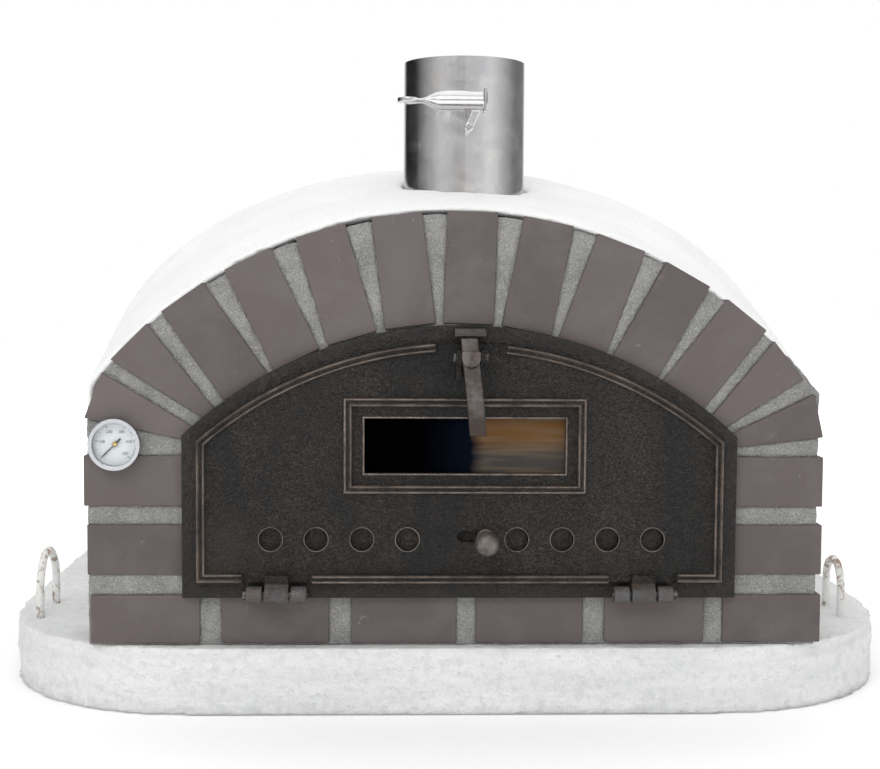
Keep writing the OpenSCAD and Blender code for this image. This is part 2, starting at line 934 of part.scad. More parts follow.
base_slab();
lifting_loop(loops[0]);  // lifting_loop_front_left
lifting_loop(loops[1]);  // lifting_loop_front_right
lifting_loop(loops[2]);  // lifting_loop_rear_left
lifting_loop(loops[3]);  // lifting_loop_rear_right
hearth_insulation();
hearth_tiles();
dome_wall_bricks();
dome_vault_bricks();
dome_crown_brick();
mouth_jamb(-1);  // mouth_jamb_left
mouth_jamb(1);  // mouth_jamb_right
mouth_lintel();
insulation_blanket();
outer_render();
arch_bricks();
side_bricks();
sill_bricks();
front_mortar();
door_frame();
latch_keeper();
hinge_pin(-1);  // hinge_pin_left
hinge_pin(1);  // hinge_pin_right
door_leaf();
window_glass();
glass_retainer();
retainer_screws();
shutter_guides();
shutter_guide_screws();
latch_pin();
latch_lever();
vent_shutter();
vent_knob();
flue_pipe();
damper_spindle();
damper_disc();
damper_disc_screws();
damper_handle();
thermometer_case();
thermometer_bezel();
thermometer_glass();
thermometer_dial();
thermometer_stem();
thermometer_pointer();
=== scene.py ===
import math
import random

import bmesh
import bpy
from mathutils import Matrix, Vector, noise


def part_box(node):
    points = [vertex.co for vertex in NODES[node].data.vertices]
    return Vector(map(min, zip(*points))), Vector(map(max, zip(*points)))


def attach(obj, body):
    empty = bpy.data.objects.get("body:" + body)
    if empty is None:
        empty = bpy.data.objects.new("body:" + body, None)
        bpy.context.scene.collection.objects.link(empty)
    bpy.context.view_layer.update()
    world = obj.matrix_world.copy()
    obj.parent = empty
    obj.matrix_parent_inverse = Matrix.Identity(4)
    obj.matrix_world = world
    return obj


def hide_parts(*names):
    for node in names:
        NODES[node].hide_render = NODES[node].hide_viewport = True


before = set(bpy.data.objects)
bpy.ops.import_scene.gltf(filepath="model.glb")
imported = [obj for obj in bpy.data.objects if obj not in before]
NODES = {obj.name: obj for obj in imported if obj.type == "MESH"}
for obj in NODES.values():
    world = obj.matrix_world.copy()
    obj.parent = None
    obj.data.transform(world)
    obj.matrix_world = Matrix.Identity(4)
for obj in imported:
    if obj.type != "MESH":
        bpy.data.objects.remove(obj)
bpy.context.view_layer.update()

random.seed(7)
mm = 0.001

# ------------------------------------------------------------------ materials

# Sockets of a Mix node that is set to mix colours.
MIX_A, MIX_B, MIX_RESULT = 6, 7, 2


class Nodes:
    """One procedural material: short calls that add and link its nodes."""

    def __init__(self, name, **sockets):
        self.material = bpy.data.materials.new(name)
        self.material.use_nodes = True
        self.tree = self.material.node_tree
        self.shader = self.tree.nodes["Principled BSDF"]
        for key, value in sockets.items():
            self.shader.inputs[key.replace("_", " ")].default_value = value
        self.where = self.add("ShaderNodeTexCoord").outputs["Object"]

    def add(self, kind, **settings):
        made = self.tree.nodes.new(kind)
        for key, value in settings.items():
            setattr(made, key, value)
        return made

    def put(self, socket, value):
        if isinstance(value, bpy.types.NodeSocket):
            self.tree.links.new(value, socket)
        elif isinstance(value, (tuple, list)) and len(value) == 3 and socket.type == "RGBA":
            socket.default_value = (*value, 1)
        else:
            socket.default_value = value

    def stretch(self, scale, shift=(0, 0, 0), turn=(0, 0, 0)):
        made = self.add("ShaderNodeMapping")
        self.put(made.inputs["Vector"], self.where)
        made.inputs["Scale"].default_value = scale
        made.inputs["Location"].default_value = shift
        made.inputs["Rotation"].default_value = turn
        return made.outputs["Vector"]

    def noise(self, scale, detail=4, rough=0.55, where=None, warp=0):
        made = self.add("ShaderNodeTexNoise")
        self.put(made.inputs["Vector"], where or self.where)
        self.put(made.inputs["Scale"], scale)
        self.put(made.inputs["Detail"], detail)
        self.put(made.inputs["Roughness"], rough)
        self.put(made.inputs["Distortion"], warp)
        return made.outputs["Fac"]

    def cells(self, scale, where=None, feature="F1", out="Distance"):
        made = self.add("ShaderNodeTexVoronoi", feature=feature)
        self.put(made.inputs["Vector"], where or self.where)
        self.put(made.inputs["Scale"], scale)
        return made.outputs[out]

    def ramp(self, value, low, high, a=0, b=1):
        made = self.add("ShaderNodeMapRange", clamp=True)
        for key, given in zip(("Value", "From Min", "From Max", "To Min", "To Max"),
                              (value, low, high, a, b)):
            self.put(made.inputs[key], given)
        return made.outputs["Result"]

    def maths(self, kind, a, b=0.0):
        made = self.add("ShaderNodeMath", operation=kind)
        self.put(made.inputs[0], a)
        self.put(made.inputs[1], b)
        return made.outputs["Value"]

    def mix(self, fac, a, b, kind="MIX"):
        made = self.add("ShaderNodeMix", data_type="RGBA", blend_type=kind)
        self.put(made.inputs["Factor"], fac)
        self.put(made.inputs[MIX_A], a)
        self.put(made.inputs[MIX_B], b)
        return made.outputs[MIX_RESULT]

    def axis(self, index):
        made = self.add("ShaderNodeSeparateXYZ")
        self.put(made.inputs[0], self.where)
        return made.outputs[index]

    def attribute(self, name):
        return self.add("ShaderNodeAttribute", attribute_name=name).outputs["Fac"]

    def bump(self, *layers):
        """Each layer is (height, depth in metres)."""
        normal = None
        for height, depth in layers:
            made = self.add("ShaderNodeBump")
            made.inputs["Strength"].default_value = 1
            self.put(made.inputs["Distance"], depth)
            self.put(made.inputs["Height"], height)
            if normal:
                self.put(made.inputs["Normal"], normal)
            normal = made.outputs["Normal"]
        self.put(self.shader.inputs["Normal"], normal)

    def set(self, **sockets):
        for key, value in sockets.items():
            self.put(self.shader.inputs[key.replace("_", " ")], value)
        return self.material


def white_render():
    m = Nodes("white_render")
    blotch = m.noise(9, 5, 0.6)
    fine = m.noise(420, 4, 0.7)
    lumps = m.noise(70, 5, 0.6)
    colour = m.mix(m.ramp(blotch, 0.35, 0.7), (0.87, 0.87, 0.875), (0.93, 0.93, 0.92))
    pits = m.ramp(m.noise(260, 3, 0.6), 0.30, 0.42, 1, 0)
    colour = m.mix(m.maths("MULTIPLY", pits, 0.35), colour, (0.55, 0.55, 0.56))
    m.bump((lumps, 2.2 * mm), (fine, 0.9 * mm))
    return m.set(Base_Color=colour, Roughness=m.ramp(fine, 0.3, 0.7, 0.8, 0.95))


def slab_render():
    m = Nodes("slab_render")
    drawn = m.stretch((7, 7, 60))
    streak = m.noise(1.0, 5, 0.6, drawn, 0.4)
    fine = m.noise(350, 4, 0.7)
    crag = m.noise(95, 6, 0.65)
    z = m.axis(2)
    colour = m.mix(m.ramp(streak, 0.35, 0.65), (0.84, 0.845, 0.855), (0.94, 0.94, 0.935))
    low = m.ramp(m.maths("ADD", z, m.maths("MULTIPLY", crag, 0.02)), 0.010, 0.020, 1, 0)
    colour = m.mix(m.maths("MULTIPLY", low, 0.35), colour, (0.60, 0.61, 0.62))
    pits = m.ramp(m.noise(180, 4, 0.6), 0.27, 0.38, 1, 0)
    colour = m.mix(m.maths("MULTIPLY", pits, 0.3), colour, (0.45, 0.46, 0.48))
    # Painted shade: darker where the crag bump is low, as shade in its hollows.
    painted_hollow_shade = m.ramp(crag, 0.50, 0.36, 0, 0.30)
    colour = m.mix(painted_hollow_shade, colour, (0.62, 0.63, 0.65))
    m.bump((crag, 6.0 * mm), (streak, 1.5 * mm), (fine, 1.4 * mm))
    return m.set(Base_Color=colour, Roughness=m.ramp(fine, 0.3, 0.7, 0.78, 0.95))


def facing_brick():
    m = Nodes("facing_brick", Specular_IOR_Level=0.35)
    haze = m.noise(14, 5, 0.6, None, 0.5)
    fine = m.noise(700, 3, 0.7)
    tone = m.attribute("tone")
    base = m.mix(tone, (0.086, 0.070, 0.069), (0.118, 0.096, 0.093))
    base = m.mix(m.ramp(haze, 0.45, 0.75, 0, 0.45), base, (0.170, 0.150, 0.148))
    chalk = m.ramp(m.noise(60, 6, 0.7, None, 1.2), 0.64, 0.74, 0, 0.35)
    base = m.mix(chalk, base, (0.36, 0.34, 0.34))
    pits = m.ramp(m.cells(160), 0.0, 0.09, 1, 0)
    pits = m.maths("MULTIPLY", pits, m.ramp(m.noise(25), 0.55, 0.65))
    base = m.mix(m.maths("MULTIPLY", pits, 0.6), base, (0.03, 0.025, 0.025))
    m.bump((m.noise(45, 4, 0.5), 0.6 * mm), (fine, 0.25 * mm))
    return m.set(Base_Color=base, Roughness=m.ramp(haze, 0.3, 0.7, 0.5, 0.66))


def mortar():
    m = Nodes("mortar", Specular_IOR_Level=0.4)
    grain = m.cells(1500, None, "F1", "Color")
    bright = m.add("ShaderNodeSeparateColor")
    m.put(bright.inputs[0], grain)
    one = bright.outputs[0]
    patch = m.noise(28, 5, 0.6)
    base = m.mix(m.ramp(patch, 0.35, 0.7), (0.19, 0.19, 0.185), (0.30, 0.30, 0.29))
    base = m.mix(m.ramp(one, 0.80, 0.98, 0, 0.8), base, (0.46, 0.455, 0.44))
    base = m.mix(m.ramp(one, 0.22, 0.08, 0, 0.8), base, (0.105, 0.10, 0.095))
    m.bump((m.noise(170, 5, 0.65), 1.8 * mm), (m.cells(1200), 0.4 * mm))
    return m.set(Base_Color=base, Roughness=m.ramp(one, 0, 1, 0.6, 0.95))


def rubbed(m, base, band, scale=60):
    """Worn grey metal with brown in it, where band is 1."""
    cloud = m.noise(scale, 5, 0.65, None, 0.4)
    metal = m.mix(m.ramp(cloud, 0.40, 0.62), (0.120, 0.122, 0.128), (0.105, 0.075, 0.057))
    return m.mix(band, base, metal)


def iron_leather():
    """Cast plate with a fine leathery skin, black with brown rubbed over the high spots."""
    m = Nodes("iron_leather", Metallic=0.3)
    drawn = m.stretch((1, 1, 1.5), (0.3, 0, 0.2), (0, 0.5, 0))
    skin = m.noise(420, 3, 0.5, drawn, 1.0)
    wrinkle = m.noise(250, 3, 0.6, drawn, 3.0)
    high = m.ramp(m.maths("ADD", m.maths("MULTIPLY", skin, 0.6), wrinkle), 0.70, 0.98)
    worn = m.ramp(m.noise(11, 4, 0.6, m.stretch((1, 1, 0.35)), 0.8), 0.40, 0.68)
    brown = m.mix(worn, (0.032, 0.030, 0.0285), (0.078, 0.060, 0.046))
    base = m.mix(high, (0.0030, 0.0029, 0.0031), brown)
    rub = m.ramp(m.noise(6, 3, 0.5, m.stretch((1, 1, 0.5), (3, 0, 1)), 0.5), 0.60, 0.72, 0, 0.5)
    base = m.mix(rub, base, (0.056, 0.043, 0.034))
    base = rubbed(m, base, m.ramp(m.axis(2), leaf_low, leaf_low - 3 * mm))
    m.bump((wrinkle, 2.6 * mm), (skin, 1.1 * mm))
    return m.set(Base_Color=base, Roughness=m.ramp(high, 0, 1, 0.55, 0.36))


def iron_frame():
    m = Nodes("iron_frame", Metallic=0.3)
    skin = m.noise(330, 4, 0.6, None, 0.8)
    wrinkle = m.noise(150, 3, 0.55, None, 2.0)
    high = m.ramp(m.maths("ADD", skin, wrinkle), 0.82, 1.30)
    worn = m.ramp(m.noise(14, 5, 0.65, None, 0.6), 0.42, 0.70)
    brown = m.mix(worn, (0.015, 0.012, 0.010), (0.045, 0.031, 0.022))
    base = m.mix(high, (0.0060, 0.0048, 0.0042), brown)
    knuckle = m.ramp(m.axis(1), frame_near + 2 * mm, frame_near - 1 * mm)
    base = rubbed(m, base, m.maths("MULTIPLY", knuckle, 0.8))
    m.bump((wrinkle, 2.0 * mm), (skin, 0.8 * mm))
    return m.set(Base_Color=base, Roughness=m.ramp(high, 0, 1, 0.5, 0.36))


def iron_bead():
    m = Nodes("iron_bead", Metallic=0.5)
    skin = m.noise(300, 4, 0.6)
    worn = m.ramp(m.noise(40, 5, 0.7), 0.36, 0.62)
    base = m.mix(worn, (0.070, 0.056, 0.048), (0.175, 0.142, 0.120))
    base = m.mix(m.ramp(skin, 0.30, 0.45, 0.7, 0), base, (0.045, 0.036, 0.030))
    m.bump((skin, 0.35 * mm))
    return m.set(Base_Color=base, Roughness=m.ramp(skin, 0.3, 0.7, 0.45, 0.3))


def worn_iron(name="worn_iron", shade=1.0, foot=None):
    """Handled iron, grey with brown in it; below foot it is painted darker brown, as painted shade where
    its end faces down.
    """
    m = Nodes(name, Metallic=0.55)
    skin = m.noise(240, 4, 0.6, None, 0.5)
    worn = m.ramp(m.noise(45, 5, 0.65), 0.40, 0.64)
    dark = tuple(shade * v for v in (0.075, 0.058, 0.048))
    pale = tuple(shade * v for v in (0.165, 0.148, 0.138))
    base = m.mix(worn, dark, pale)
    base = m.mix(m.ramp(skin, 0.30, 0.44, 0.7, 0), base, (0.040, 0.032, 0.028))
    if foot:
        # Painted shade: the end below foot is darker brown, where it faces down.
        painted_shade_height = m.maths("ADD", m.axis(2), m.maths("MULTIPLY", worn, 4 * mm))
        base = m.mix(m.ramp(painted_shade_height, foot + 7 * mm, foot), base, (0.040, 0.028, 0.022))
    m.bump((m.noise(90, 3, 0.5), 0.8 * mm), (skin, 0.3 * mm))
    return m.set(Base_Color=base, Roughness=m.ramp(skin, 0.3, 0.7, 0.5, 0.33))


def aluminium():
    m = Nodes("bright_aluminium", Metallic=1.0)
    haze = m.noise(300, 3, 0.6)
    base = m.mix(haze, (0.38, 0.39, 0.41), (0.50, 0.51, 0.53))
    m.bump((haze, 0.05 * mm))
    return m.set(Base_Color=base, Roughness=m.ramp(haze, 0.3, 0.7, 0.24, 0.34))


def pin_iron():
    m = Nodes("pin_iron", Metallic=0.8)
    skin = m.noise(300, 4, 0.65)
    base = m.mix(m.ramp(skin, 0.45, 0.65), (0.045, 0.040, 0.038), (0.20, 0.19, 0.185))
    m.bump((skin, 0.4 * mm))
    return m.set(Base_Color=base, Roughness=m.ramp(skin, 0.3, 0.7, 0.4, 0.55))


def plain_steel():
    m = Nodes("plain_steel", Metallic=1.0)
    skin = m.noise(400, 3, 0.6)
    base = m.mix(m.ramp(m.noise(60, 4, 0.7), 0.4, 0.62), (0.34, 0.31, 0.29), (0.62, 0.61, 0.60))
    m.bump((skin, 0.12 * mm))
    return m.set(Base_Color=base, Roughness=m.ramp(skin, 0.3, 0.7, 0.24, 0.42))


def stainless(name="stainless", turn=False):
    """Brushed sheet; the brushing goes up and down, or along x where it is turned."""
    m = Nodes(name, Metallic=1.0)
    along = (4, 900, 900) if turn else (900, 900, 5)
    brush = m.noise(1.0, 3, 0.6, m.stretch(along))
    cloud = m.noise(26, 5, 0.6, None, 0.8)
    base = m.mix(m.ramp(cloud, 0.30, 0.72), (0.55, 0.55, 0.57), (0.66, 0.65, 0.64))
    tan = m.ramp(m.noise(18, 5, 0.65, m.stretch((1, 1, 0.4), (5, 1, 0))), 0.56, 0.75, 0, 0.5)
    base = m.mix(tan, base, (0.60, 0.53, 0.46))
    rough = m.maths("ADD", m.ramp(cloud, 0.3, 0.7, 0.13, 0.24), m.ramp(brush, 0.3, 0.7, 0, 0.06))
    m.bump((brush, 0.05 * mm), (m.noise(20, 2), 0.08 * mm))
    return m.set(Base_Color=base, Roughness=rough)


def loop_paint():
    m = Nodes("loop_paint")
    rust = m.ramp(m.noise(75, 5, 0.7, None, 0.5), 0.50, 0.60)
    fine = m.noise(500, 3, 0.6)
    brown = m.mix(fine, (0.16, 0.08, 0.04), (0.33, 0.20, 0.12))
    base = m.mix(m.maths("MULTIPLY", rust, 0.85), (0.72, 0.72, 0.70), brown)
    m.bump((m.noise(160, 4, 0.6), 0.9 * mm), (fine, 0.3 * mm))
    return m.set(Base_Color=base, Roughness=m.ramp(rust, 0, 1, 0.6, 0.88))


def window_glass():
    """Dark heat proof glass with a painted reflection: brown above grey towards the right, and a faint
    blue towards the middle.
    """
    m = Nodes("window_glass", Specular_IOR_Level=0.0)
    x = m.axis(0)
    z = m.axis(2)
    glass_noise = m.noise(9, 3, 0.5, m.stretch((1, 1, 4)), 0.8)
    # Painted reflection: this mask brings in a brown reflection towards the right of the glass.
    right = m.ramp(m.maths("ADD", x, m.maths("MULTIPLY", glass_noise, 0.012)), 0.020, 0.034)
    # Painted reflection: brown above this height, grey below.
    band = m.ramp(m.maths("ADD", z, m.maths("MULTIPLY", glass_noise, 0.012)), 0.276, 0.289)
    painted_reflection = m.mix(band, (0.052, 0.047, 0.044), (0.115, 0.060, 0.024))
    # Painted reflection: streaks in the brown reflection.
    painted_reflection_streak = m.ramp(m.noise(22, 3, 0.5, m.stretch((0.4, 1, 6)), 0.3), 0.45, 0.62)
    painted_reflection = m.mix(m.maths("MULTIPLY", painted_reflection_streak, 0.6), painted_reflection, (0.13, 0.095, 0.065))
    # Near-black glass, with a painted faint blue reflection towards the middle.
    left = m.mix(m.ramp(x, -0.035, 0.012), (0.0004, 0.0004, 0.0006), (0.0025, 0.0040, 0.0078))
    return m.set(Base_Color=m.mix(right, left, painted_reflection), Roughness=m.ramp(glass_noise, 0, 1, 0.06, 0.14))


def fire_brick():
    m = Nodes("fire_brick")
    patch = m.noise(22, 6, 0.65)
    grain = m.noise(420, 4, 0.7)
    base = m.mix(m.ramp(patch, 0.35, 0.68), (0.52, 0.36, 0.22), (0.68, 0.52, 0.36))
    base = m.mix(m.ramp(grain, 0.28, 0.42, 0.6, 0), base, (0.24, 0.14, 0.09))
    soot = m.ramp(m.noise(6, 5, 0.6), 0.55, 0.75, 0, 0.55)
    base = m.mix(soot, base, (0.10, 0.085, 0.075))
    m.bump((patch, 1.5 * mm), (grain, 0.6 * mm))
    return m.set(Base_Color=base, Roughness=m.ramp(grain, 0.3, 0.7, 0.8, 0.95))


def insulation():
    m = Nodes("insulation")
    fibre = m.noise(1.0, 5, 0.7, m.stretch((260, 260, 60)), 2)
    base = m.mix(fibre, (0.70, 0.66, 0.55), (0.88, 0.86, 0.78))
    m.bump((fibre, 1.5 * mm))
    return m.set(Base_Color=base, Roughness=m.ramp(fibre, 0, 1, 0.85, 1))


def enamel_white():
    m = Nodes("dial_white", Specular_IOR_Level=0.4)
    haze = m.noise(120, 3)
    base = m.mix(haze, (0.70, 0.74, 0.76), (0.78, 0.81, 0.82))
    return m.set(Base_Color=base, Roughness=m.ramp(haze, 0, 1, 0.35, 0.5))


def ink():
    m = Nodes("dial_ink")
    haze = m.noise(900, 2)
    base = m.mix(haze, (0.02, 0.02, 0.022), (0.06, 0.06, 0.065))
    return m.set(Base_Color=base, Roughness=m.ramp(haze, 0, 1, 0.45, 0.6))


def clear_glass():
    m = Nodes("clear_glass", Transmission_Weight=1.0, IOR=1.45, Alpha=0.25)
    haze = m.noise(90, 3)
    return m.set(Base_Color=m.mix(haze, (0.95, 0.97, 0.98), (1, 1, 1)),
                 Roughness=m.ramp(haze, 0, 1, 0.02, 0.06))


def brass():
    m = Nodes("brass_boss", Metallic=1.0)
    haze = m.noise(500, 3)
    return m.set(Base_Color=m.mix(haze, (0.50, 0.33, 0.12), (0.68, 0.48, 0.20)),
                 Roughness=m.ramp(haze, 0, 1, 0.25, 0.45))


leaf_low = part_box("window_glass")[0][2] - 106 * mm
frame_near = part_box("door_frame")[0][1] + 15 * mm
RENDER = white_render()
SLAB = slab_render()
BRICK = facing_brick()
MORTAR = mortar()
LEATHER = iron_leather()
FRAME_IRON = iron_frame()
BEAD = iron_bead()
WORN = worn_iron()
LEVER = worn_iron("lever_iron", 0.62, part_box("latch_lever")[0][2] + 16 * mm)
KEEPER = worn_iron("keeper_iron", 0.40)
ALUMINIUM = aluminium()
PIN = pin_iron()
STEEL = plain_steel()
PIPE = stainless()
BRUSHED = stainless("stainless_turned", True)
LOOP = loop_paint()
WINDOW = window_glass()
FIRE = fire_brick()
WOOL = insulation()
WHITE = enamel_white()
INK = ink()
CLEAR = clear_glass()
BRASS = brass()

for node, finish in {
    "hearth_insulation": WOOL, "insulation_blanket": WOOL, "hearth_tiles": FIRE,
    "dome_wall_bricks": FIRE, "dome_vault_bricks": FIRE, "dome_crown_brick": FIRE,
    "mouth_jamb_left": FIRE, "mouth_jamb_right": FIRE, "mouth_lintel": FIRE,
    "front_mortar": MORTAR, "hinge_pin_left": PIN, "hinge_pin_right": PIN,
    "window_glass": WINDOW, "glass_retainer": FRAME_IRON, "retainer_screws": STEEL,
    "shutter_guides": FRAME_IRON, "shutter_guide_screws": STEEL, "latch_pin": PIN,
    "damper_spindle": BRUSHED, "damper_disc": PIPE, "damper_disc_screws": STEEL,
    "thermometer_case": ALUMINIUM, "thermometer_glass": CLEAR, "thermometer_dial": WHITE,
    "thermometer_stem": STEEL, "thermometer_pointer": INK,
}.items():
    NODES[node].data.materials.clear()
    NODES[node].data.materials.append(finish)

# ------------------------------------------------------------------ making pieces


def piece(name, mesh_data, material, body, replaces=(), smooth=40):
    """Adds a finished piece: shaded smooth up to the given angle, riding on its body."""
    made = bpy.data.objects.new(name, mesh_data)
    bpy.context.collection.objects.link(made)
    mesh_data.materials.clear()
    mesh_data.materials.append(material)
    mesh_data.shade_smooth()
    if smooth < 180:
        mesh_data.set_sharp_from_angle(angle=math.radians(smooth))
        made.modifiers.new("flat_faces", "WEIGHTED_NORMAL").keep_sharp = True
    if replaces:
        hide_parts(*replaces)
    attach(made, body)
    return made


def welded(node):
    """The mesh of a CAD node as a bmesh of whole faces."""
    bm = bmesh.new()
    bm.from_mesh(NODES[node].data)
    bmesh.ops.remove_doubles(bm, verts=bm.verts, dist=1e-6)
    bmesh.ops.dissolve_limit(bm, angle_limit=math.radians(0.5), verts=bm.verts, edges=bm.edges)
    return bm


def to_mesh(bm, name):
    bmesh.ops.recalc_face_normals(bm, faces=bm.faces)
    made = bpy.data.meshes.new(name)
    bm.to_mesh(made)
    bm.free()
    return made


def bevelled(bm, width, segments=2, angle=30):
    sharp = [e for e in bm.edges if e.is_manifold and e.calc_face_angle(0) > math.radians(angle)]
    bmesh.ops.bevel(bm, geom=sharp, offset=width, offset_type="OFFSET", segments=segments,
                    profile=0.6, affect="EDGES", clamp_overlap=True)
    return bm


def remeshed(bm, voxel, rounds, name):
    """A closed solid as an even net of small squares, with its edges worn round."""
    source = bpy.data.objects.new(name, to_mesh(bm, name))
    bpy.context.collection.objects.link(source)
    remesh = source.modifiers.new("net", "REMESH")
    remesh.mode = "VOXEL"
    remesh.voxel_size = voxel
    if rounds:
        worn = source.modifiers.new("worn", "SMOOTH")
        worn.factor = 0.5
        worn.iterations = rounds
    graph = bpy.context.evaluated_depsgraph_get()
    made = bpy.data.meshes.new_from_object(source.evaluated_get(graph))
    bpy.data.objects.remove(source)
    return made


def rough(mesh_data, amount):
    """Moves each vertex along its normal by amount(position, normal), in metres."""
    normals = [v.normal.copy() for v in mesh_data.vertices]
    for v, n in zip(mesh_data.vertices, normals):
        v.co += n * amount(v.co, n)
    mesh_data.update()
    return mesh_data


def fractal(p, scale, octaves=4, seed=0.0):
    return noise.fractal(Vector((p.x * scale + seed, p.y * scale, p.z * scale)), 0.8, 2.0, octaves)


def sweep(points, profile, y_front, closed):
    """A moulding along a flat path in x and z: the profile is (across, out) pairs."""
    bm = bmesh.new()
    path = [Vector(p) for p in points]
    count = len(path)
    rings = []
    for i, p in enumerate(path):
        before = path[i - 1] if i or closed else None
        after = path[(i + 1) % count] if i < count - 1 or closed else None
        d0 = (p - before).normalized() if before else (after - p).normalized()
        d1 = (after - p).normalized() if after else d0
        n0, n1 = Vector((-d0.y, d0.x)), Vector((-d1.y, d1.x))
        mitre = (n0 + n1).normalized()
        mitre /= max(0.3, mitre.dot(n0))
        rings.append([bm.verts.new((p.x + mitre.x * a, y_front - out, p.y + mitre.y * a))
                      for a, out in profile])
    for i in range(count if closed else count - 1):
        one, two = rings[i], rings[(i + 1) % count]
        for k in range(len(profile)):
            bm.faces.new((one[k - 1], one[k], two[k], two[k - 1]))
    if not closed:
        bm.faces.new(rings[0])
        bm.faces.new(list(reversed(rings[-1])))
    return bm


def joined(parts):
    """Several bmeshes as one."""
    whole = bmesh.new()
    for bm in parts:
        part = bpy.data.meshes.new("part")
        bm.to_mesh(part)
        bm.free()
        whole.from_mesh(part)
        bpy.data.meshes.remove(part)
    return whole


# ------------------------------------------------------------------ slab and dome



def slab_relief(p, n):
    """Trowelled sides, drawn sideways, a crumbled foot and a flatter top."""
    drawn = noise.fractal(Vector((p.x * 9, p.y * 9, p.z * 55)), 0.8, 2.0, 4)
    lumps = fractal(p, 48, 4, 3)
    side = 1 - abs(n.z)
    foot = max(0.0, 1 - p.z / (11 * mm)) * (0.6 + 0.8 * fractal(p, 60, 3, 9))
    if n.z < -0.5:
        return 0.0
    return side * (0.9 * drawn + 2.2 * lumps - 2.0 - 3.0 * max(0, foot)) * mm + \
        (1 - side) * (0.6 * lumps - 0.9) * mm


bm = welded("base_slab")
slab_mesh = rough(remeshed(bm, 5 * mm, 3, "slab_body"), slab_relief)
piece("slab_body", slab_mesh, SLAB, "oven", ["base_slab"], 180)


def dome_relief(p, n):
    return (0.8 * fractal(p, 14, 3, 2) + 0.35 * fractal(p, 90, 3, 5) - 0.5) * mm


dome_mesh = rough(remeshed(welded("outer_render"), 6 * mm, 12, "dome_skin"), dome_relief)
piece("dome_skin", dome_mesh, RENDER, "oven", ["outer_render"], 180)

# ------------------------------------------------------------------ brick front


def brick_pieces(node):
    """Each brick as its own solid with worn edges, a little wave and its own tone."""
    whole = bevelled(welded(node), 1.3 * mm, 2)
    bmesh.ops.triangulate(whole, faces=[f for f in whole.faces if len(f.verts) > 4])
    tones = whole.verts.layers.float.new("tone")
    seen = set()
    for start in whole.verts:
        if start in seen:
            continue
        island, stack = [], [start]
        seen.add(start)
        while stack:
            v = stack.pop()
            island.append(v)
            for e in v.link_edges:
                w = e.other_vert(v)
                if w not in seen:
                    seen.add(w)
                    stack.append(w)
        tone, push = random.random(), random.uniform(-0.8, 0.8) * mm
        for v in island:
            v[tones] = tone
            v.co.y += push
    return whole


for node in ("arch_bricks", "side_bricks", "sill_bricks"):
    piece(node + "_worn", to_mesh(brick_pieces(node), node), BRICK, "oven",
          [node], 50)

mortar_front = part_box("front_mortar")[0][1]
face = welded("front_mortar")
bmesh.ops.bisect_plane(face, geom=face.verts[:] + face.edges[:] + face.faces[:],
                       plane_co=(0, mortar_front + 9 * mm, 0), plane_no=(0, 1, 0),
                       clear_outer=True)
bmesh.ops.holes_fill(face, edges=[e for e in face.edges if e.is_boundary])


def mortar_relief(p, n):
    return (1.0 * fractal(p, 55, 4, 1) + 0.7 * fractal(p, 210, 3, 4) + 0.9) * mm


mortar_mesh = rough(remeshed(face, 2.2 * mm, 0, "mortar_face"), mortar_relief)
piece("mortar_face", mortar_mesh, MORTAR, "oven", (), 180)

# ------------------------------------------------------------------ door

for name, node, material, body, slot, width in (
    ("door_frame_cast", "door_frame", FRAME_IRON, "oven", "cast_iron", 1.6),
    ("latch_keeper_cast", "latch_keeper", KEEPER, "oven", "cast_iron", 1.0),
    ("door_leaf_cast", "door_leaf", LEATHER, "door", "cast_iron", 0.7),
    ("vent_shutter_plate", "vent_shutter", FRAME_IRON, "shutter", "cast_iron", 0.4),
):
    bm = bevelled(welded(node), width * mm, 2, 35)
    piece(name, to_mesh(bm, name), material, body, [node], 40)

for name, node, voxel, rounds, material, body, slot in (
    ("latch_lever_cast", "latch_lever", 0.8, 6, LEVER, "latch", "worn_iron"),
    ("vent_knob_cast", "vent_knob", 0.7, 4, WORN, "shutter", "worn_iron"),
    ("damper_handle_tube", "damper_handle", 0.7, 3, BRUSHED, "damper", "stainless"),
):
    worn = remeshed(welded(node), voxel * mm, rounds, name)
    piece(name, worn, material, body, [node], 180)

pin_low, pin_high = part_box("latch_pin")
boss_x, boss_z = (pin_low[0] + pin_high[0]) / 2, (pin_low[2] + pin_high[2]) / 2
boss_y = (pin_low[1] + pin_high[1]) / 2 - 12 * mm
shield = bmesh.new()
outline = [(-9.5, 6.5), (9.5, 6.5), (9.5, -1), (8.2, -5), (5.2, -8.2), (0, -9.5), (-5.2, -8.2),
           (-8.2, -5), (-9.5, -1)]
near_ring, far_ring = ([shield.verts.new((boss_x + x * mm, y, boss_z + z * mm)) for x, z in outline]
                       for y in (boss_y, boss_y + 6 * mm))
shield.faces.new(near_ring)
shield.faces.new(far_ring)
for k in range(len(outline)):
    shield.faces.new((near_ring[k - 1], near_ring[k], far_ring[k], far_ring[k - 1]))
bmesh.ops.recalc_face_normals(shield, faces=shield.faces)
piece("latch_shield", to_mesh(bevelled(shield, 1.6 * mm, 3, 40), "latch_shield"), WORN, "latch",
      (), 50)

door_x = (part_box("door_frame")[0][0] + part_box("door_frame")[1][0]) / 2
leaf_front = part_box("window_glass")[0][1] - 7.1 * mm
leaf_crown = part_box("door_leaf")[1][2]
leaf_half, leaf_foot, leaf_arc = 0.269, leaf_crown - 0.245, 0.411
hinge_dx = (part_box("hinge_pin_right")[0][0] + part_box("hinge_pin_right")[1][0]) / 2 - door_x - 1.5 * mm


